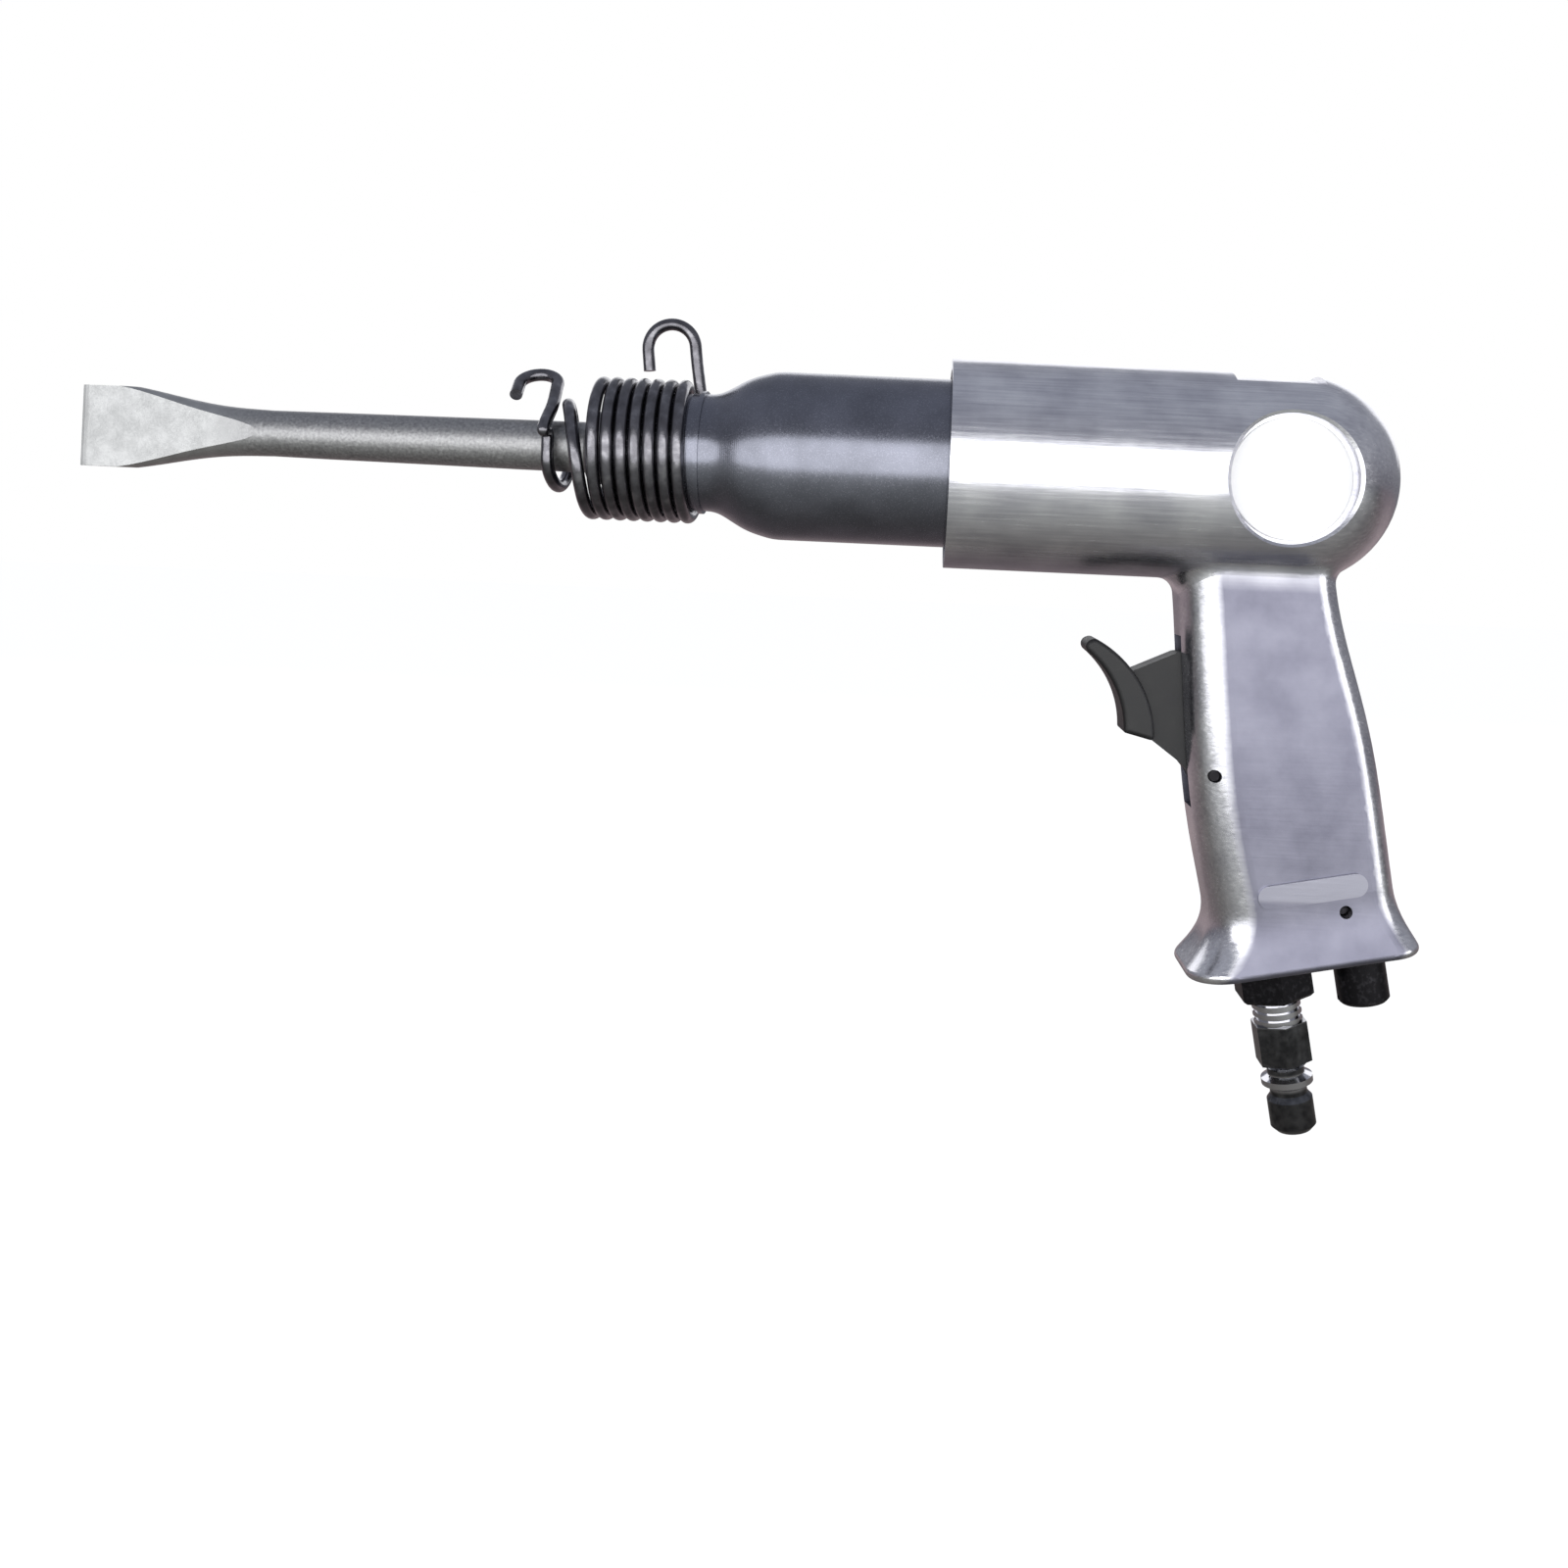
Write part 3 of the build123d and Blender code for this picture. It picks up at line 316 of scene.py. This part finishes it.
# ---- chisel ----------------------------------------------------------------------------------
# Forged from hexagon bar, rounded, hardened and shot blasted, which gives an even grey
# sparkle. The two faces of the blade are ground afterwards, so they are paler and mottled.
# The last 2 mm are made non-metallic, which only keeps the edge pale from the side.
# Gives a plain grey with a fine sparkle, paler on the blade.
blasted = bpy.data.materials.new("shot_blasted_tool_steel")
blasted.use_nodes = True
t = blasted.node_tree
skin = t.nodes["Principled BSDF"]
skin.inputs["Metallic"].default_value = 1.0
at = add(t, "ShaderNodeTexCoord")
GRIT_PER_M = 1600.0
grit = add(t, "ShaderNodeTexNoise", [("Vector", at, "Object")], Scale=GRIT_PER_M, Detail=5.0)
cloud = add(t, "ShaderNodeTexNoise", [("Vector", at, "Object")], Scale=260.0, Detail=5.0)
place = add(t, "ShaderNodeSeparateXYZ", [("Vector", at, "Object")])
ground = add(t, "ShaderNodeMapRange", [("Value", place, "X")], From_Min=-0.248, From_Max=-0.262)
shade = add(t, "ShaderNodeValToRGB", [("Fac", grit, "Fac")])
stops(shade, (0.3, "#8e8e8f"), (0.6, "#ababac"), (0.8, "#c4c4c5"))
pale = add(t, "ShaderNodeValToRGB", [("Fac", cloud, "Fac")])
stops(pale, (0.35, "#aeafaf"), (0.65, "#bfc0c0"))
blend = add(
    t, "ShaderNodeMixRGB", [("Fac", ground, "Result"), ("Color1", shade, "Color"), ("Color2", pale, "Color")]
)
t.links.new(blend.outputs["Color"], skin.inputs["Base Color"])
edge = add(
    t,
    "ShaderNodeMapRange",
    [("Value", place, "X")],
    From_Min=-0.2911,
    From_Max=-0.2916,
    To_Min=1.0,
    To_Max=0.1,
)
t.links.new(edge.outputs["Result"], skin.inputs["Metallic"])
rough = add(t, "ShaderNodeMapRange", [("Value", grit, "Fac")], To_Min=0.36, To_Max=0.56)
t.links.new(rough.outputs["Result"], skin.inputs["Roughness"])
peen = add(t, "ShaderNodeBump", [("Height", grit, "Fac")], Strength=0.30, Distance=0.00015)
t.links.new(peen.outputs["Normal"], skin.inputs["Normal"])
finish_with(blasted, "chisel")

# ---- trigger ---------------------------------------------------------------------------------
# Moulded in black glass-filled nylon. The skin is satin, a touch dusty, with a fine texture
# from the mould and slightly glossier where a finger rubs it.
# Gives a soft black with a wide dull sheen.
nylon = bpy.data.materials.new("moulded_black_nylon")
nylon.use_nodes = True
t = nylon.node_tree
skin = t.nodes["Principled BSDF"]
skin.inputs["IOR"].default_value = 1.53
at = add(t, "ShaderNodeTexCoord")
texture = add(t, "ShaderNodeTexNoise", [("Vector", at, "Object")], Scale=1400.0, Detail=3.0)
dust = add(t, "ShaderNodeTexNoise", [("Vector", at, "Object")], Scale=220.0, Detail=5.0)
shade = add(t, "ShaderNodeValToRGB", [("Fac", dust, "Fac")])
stops(shade, (0.4, "#0c0c0e"), (0.75, "#19191c"))
t.links.new(shade.outputs["Color"], skin.inputs["Base Color"])
rough = add(t, "ShaderNodeMapRange", [("Value", dust, "Fac")], To_Min=0.42, To_Max=0.62)
t.links.new(rough.outputs["Result"], skin.inputs["Roughness"])
grain = add(t, "ShaderNodeBump", [("Height", texture, "Fac")], Strength=0.15, Distance=0.0001)
t.links.new(grain.outputs["Normal"], skin.inputs["Normal"])
finish_with(nylon, "trigger")

# ---- inlet bushing and regulator knob --------------------------------------------------------
# Both are turned from steel and black oxidised: near black, slightly glossy from the oil,
# with worn brighter specks.
# Gives near black with small worn specks.
oxide = bpy.data.materials.new("black_oxide_steel")
oxide.use_nodes = True
t = oxide.node_tree
skin = t.nodes["Principled BSDF"]
skin.inputs["Metallic"].default_value = 0.85
at = add(t, "ShaderNodeTexCoord")
speck = add(t, "ShaderNodeTexNoise", [("Vector", at, "Object")], Scale=900.0, Detail=5.0)
shade = add(t, "ShaderNodeValToRGB", [("Fac", speck, "Fac")])
stops(shade, (0.5, "#222124"), (0.72, "#3d3c40"))
t.links.new(shade.outputs["Color"], skin.inputs["Base Color"])
rough = add(t, "ShaderNodeMapRange", [("Value", speck, "Fac")], To_Min=0.28, To_Max=0.46)
t.links.new(rough.outputs["Result"], skin.inputs["Roughness"])
grain = add(t, "ShaderNodeBump", [("Height", speck, "Fac")], Strength=0.12, Distance=0.0001)
t.links.new(grain.outputs["Normal"], skin.inputs["Normal"])
finish_with(oxide, "inlet_bushing", "regulator_knob", "trigger_pin", "regulator_pin")

# ---- air plug --------------------------------------------------------------------------------
# Turned steel with a dark nickel and chrome plate, which mirrors the room sharply between
# duller patches. The thread and the locking ridge get bright silver bands, painted
# highlights that stand in for glints there.
# Gives sharp dark reflections between painted highlight rings.
plating = bpy.data.materials.new("dark_nickel_chrome_plate")
plating.use_nodes = True
t = plating.node_tree
skin = t.nodes["Principled BSDF"]
skin.inputs["Metallic"].default_value = 1.0
at = add(t, "ShaderNodeTexCoord")
rub = add(t, "ShaderNodeTexNoise", [("Vector", at, "Object")], Scale=420.0, Detail=6.0)
shade = add(t, "ShaderNodeValToRGB", [("Fac", rub, "Fac")])
stops(shade, (0.35, "#4c4d50"), (0.7, "#77787b"))
GRIP_RAKE = math.radians(10.9)
PLUG_AXIS = (math.sin(GRIP_RAKE), 0.0, -math.cos(GRIP_RAKE))
down = add(t, "ShaderNodeVectorMath", [(0, at, "Object")], operation="DOT_PRODUCT")
down.inputs[1].default_value = PLUG_AXIS
# Painted highlights: bright silver bands at the thread and the locking ridge stand in for glints.
band = add(t, "ShaderNodeMapRange", [("Value", down, "Value")], From_Min=0.120, From_Max=0.155)
painted_glint_mask = add(t, "ShaderNodeValToRGB", [("Fac", band, "Result")])
PAINTED_GLINT, PLATED = "#ffffff", "#000000"
stops(
    painted_glint_mask,
    (0.0, PAINTED_GLINT),
    (0.19, PAINTED_GLINT),
    (0.22, PLATED),
    (0.55, PLATED),
    (0.57, PAINTED_GLINT),
    (0.65, PAINTED_GLINT),
    (0.68, PLATED),
)
plate_with_painted_glints = add(t, "ShaderNodeMixRGB", [("Fac", painted_glint_mask, "Color"), ("Color1", shade, "Color")])
plate_with_painted_glints.inputs["Color2"].default_value = linear("#d4d4d8")
t.links.new(plate_with_painted_glints.outputs["Color"], skin.inputs["Base Color"])
rough = add(t, "ShaderNodeMapRange", [("Value", rub, "Fac")], To_Min=0.04, To_Max=0.20)
t.links.new(rough.outputs["Result"], skin.inputs["Roughness"])
dent = add(t, "ShaderNodeBump", [("Height", rub, "Fac")], Strength=0.08, Distance=0.0003)
t.links.new(dent.outputs["Normal"], skin.inputs["Normal"])
finish_with(plating, "air_plug")

# ---- throttle return spring ------------------------------------------------------------------
# A small coil of bright stainless wire behind the throttle's poppet. It shortens against
# the end of its bore as the trigger goes in.
return_coil = bpy.data.objects.new("throttle_return_coil", nodes["throttle_spring"].data.copy())
bpy.context.scene.collection.objects.link(return_coil)
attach(return_coil, "body")
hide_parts("throttle_spring")
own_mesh(return_coil)

# ---- inner steel -----------------------------------------------------------------------------
# Piston, valve, dowel and throttle stem are hardened and ground, bright with a fine cross
# grain and an oily tarnish here and there.
# Gives a clean bright grey, browner where oil has dried.
ground_steel = bpy.data.materials.new("ground_hardened_steel")
ground_steel.use_nodes = True
t = ground_steel.node_tree
skin = t.nodes["Principled BSDF"]
skin.inputs["Metallic"].default_value = 1.0
at = add(t, "ShaderNodeTexCoord")
oil = add(t, "ShaderNodeTexNoise", [("Vector", at, "Object")], Scale=300.0, Detail=4.0)
shade = add(t, "ShaderNodeValToRGB", [("Fac", oil, "Fac")])
stops(shade, (0.3, "#8f8c88"), (0.7, "#c4c3c4"))
t.links.new(shade.outputs["Color"], skin.inputs["Base Color"])
rough = add(t, "ShaderNodeMapRange", [("Value", oil, "Fac")], To_Min=0.18, To_Max=0.34)
t.links.new(rough.outputs["Result"], skin.inputs["Roughness"])
hatch = add(t, "ShaderNodeTexNoise", [("Vector", at, "Object")], Scale=2400.0, Detail=2.0)
grain = add(t, "ShaderNodeBump", [("Height", hatch, "Fac")], Strength=0.06, Distance=0.00005)
t.links.new(grain.outputs["Normal"], skin.inputs["Normal"])
finish_with(
    ground_steel, "piston", "valve_seat", "valve_cap", "valve_ring", "valve_dowel", "throttle_stem"
)
return_coil.data.materials.clear()
return_coil.data.materials.append(ground_steel)

# ---- brass parts -----------------------------------------------------------------------------
# The throttle bushing and the inlet strainer are turned from free-cutting brass, dulled to
# a brownish yellow by oil.
# Gives a brownish yellow shine.
brass = bpy.data.materials.new("turned_oily_brass")
brass.use_nodes = True
t = brass.node_tree
skin = t.nodes["Principled BSDF"]
skin.inputs["Metallic"].default_value = 1.0
at = add(t, "ShaderNodeTexCoord")
oil = add(t, "ShaderNodeTexNoise", [("Vector", at, "Object")], Scale=400.0, Detail=4.0)
shade = add(t, "ShaderNodeValToRGB", [("Fac", oil, "Fac")])
stops(shade, (0.3, "#a98742"), (0.7, "#d3b469"))
t.links.new(shade.outputs["Color"], skin.inputs["Base Color"])
rough = add(t, "ShaderNodeMapRange", [("Value", oil, "Fac")], To_Min=0.24, To_Max=0.40)
t.links.new(rough.outputs["Result"], skin.inputs["Roughness"])
hatch = add(t, "ShaderNodeTexNoise", [("Vector", at, "Object")], Scale=1800.0, Detail=2.0)
grain = add(t, "ShaderNodeBump", [("Height", hatch, "Fac")], Strength=0.08, Distance=0.00005)
t.links.new(grain.outputs["Normal"], skin.inputs["Normal"])
finish_with(brass, "throttle_bushing", "inlet_screen")

# ---- seals -----------------------------------------------------------------------------------
# Nitrile O-rings, moulded: soft black rubber with a dull skin.
# Gives a flat soft black.
rubber = bpy.data.materials.new("moulded_nitrile_rubber")
rubber.use_nodes = True
t = rubber.node_tree
skin = t.nodes["Principled BSDF"]
skin.inputs["IOR"].default_value = 1.52
at = add(t, "ShaderNodeTexCoord")
bloom = add(t, "ShaderNodeTexNoise", [("Vector", at, "Object")], Scale=700.0, Detail=3.0)
shade = add(t, "ShaderNodeValToRGB", [("Fac", bloom, "Fac")])
stops(shade, (0.4, "#141414"), (0.8, "#242424"))
t.links.new(shade.outputs["Color"], skin.inputs["Base Color"])
rough = add(t, "ShaderNodeMapRange", [("Value", bloom, "Fac")], To_Min=0.6, To_Max=0.8)
t.links.new(rough.outputs["Result"], skin.inputs["Roughness"])
skin_grain = add(t, "ShaderNodeBump", [("Height", bloom, "Fac")], Strength=0.10, Distance=0.0001)
t.links.new(skin_grain.outputs["Normal"], skin.inputs["Normal"])
finish_with(rubber, "barrel_o_ring", "throttle_o_ring", "inlet_o_ring", "regulator_o_ring")
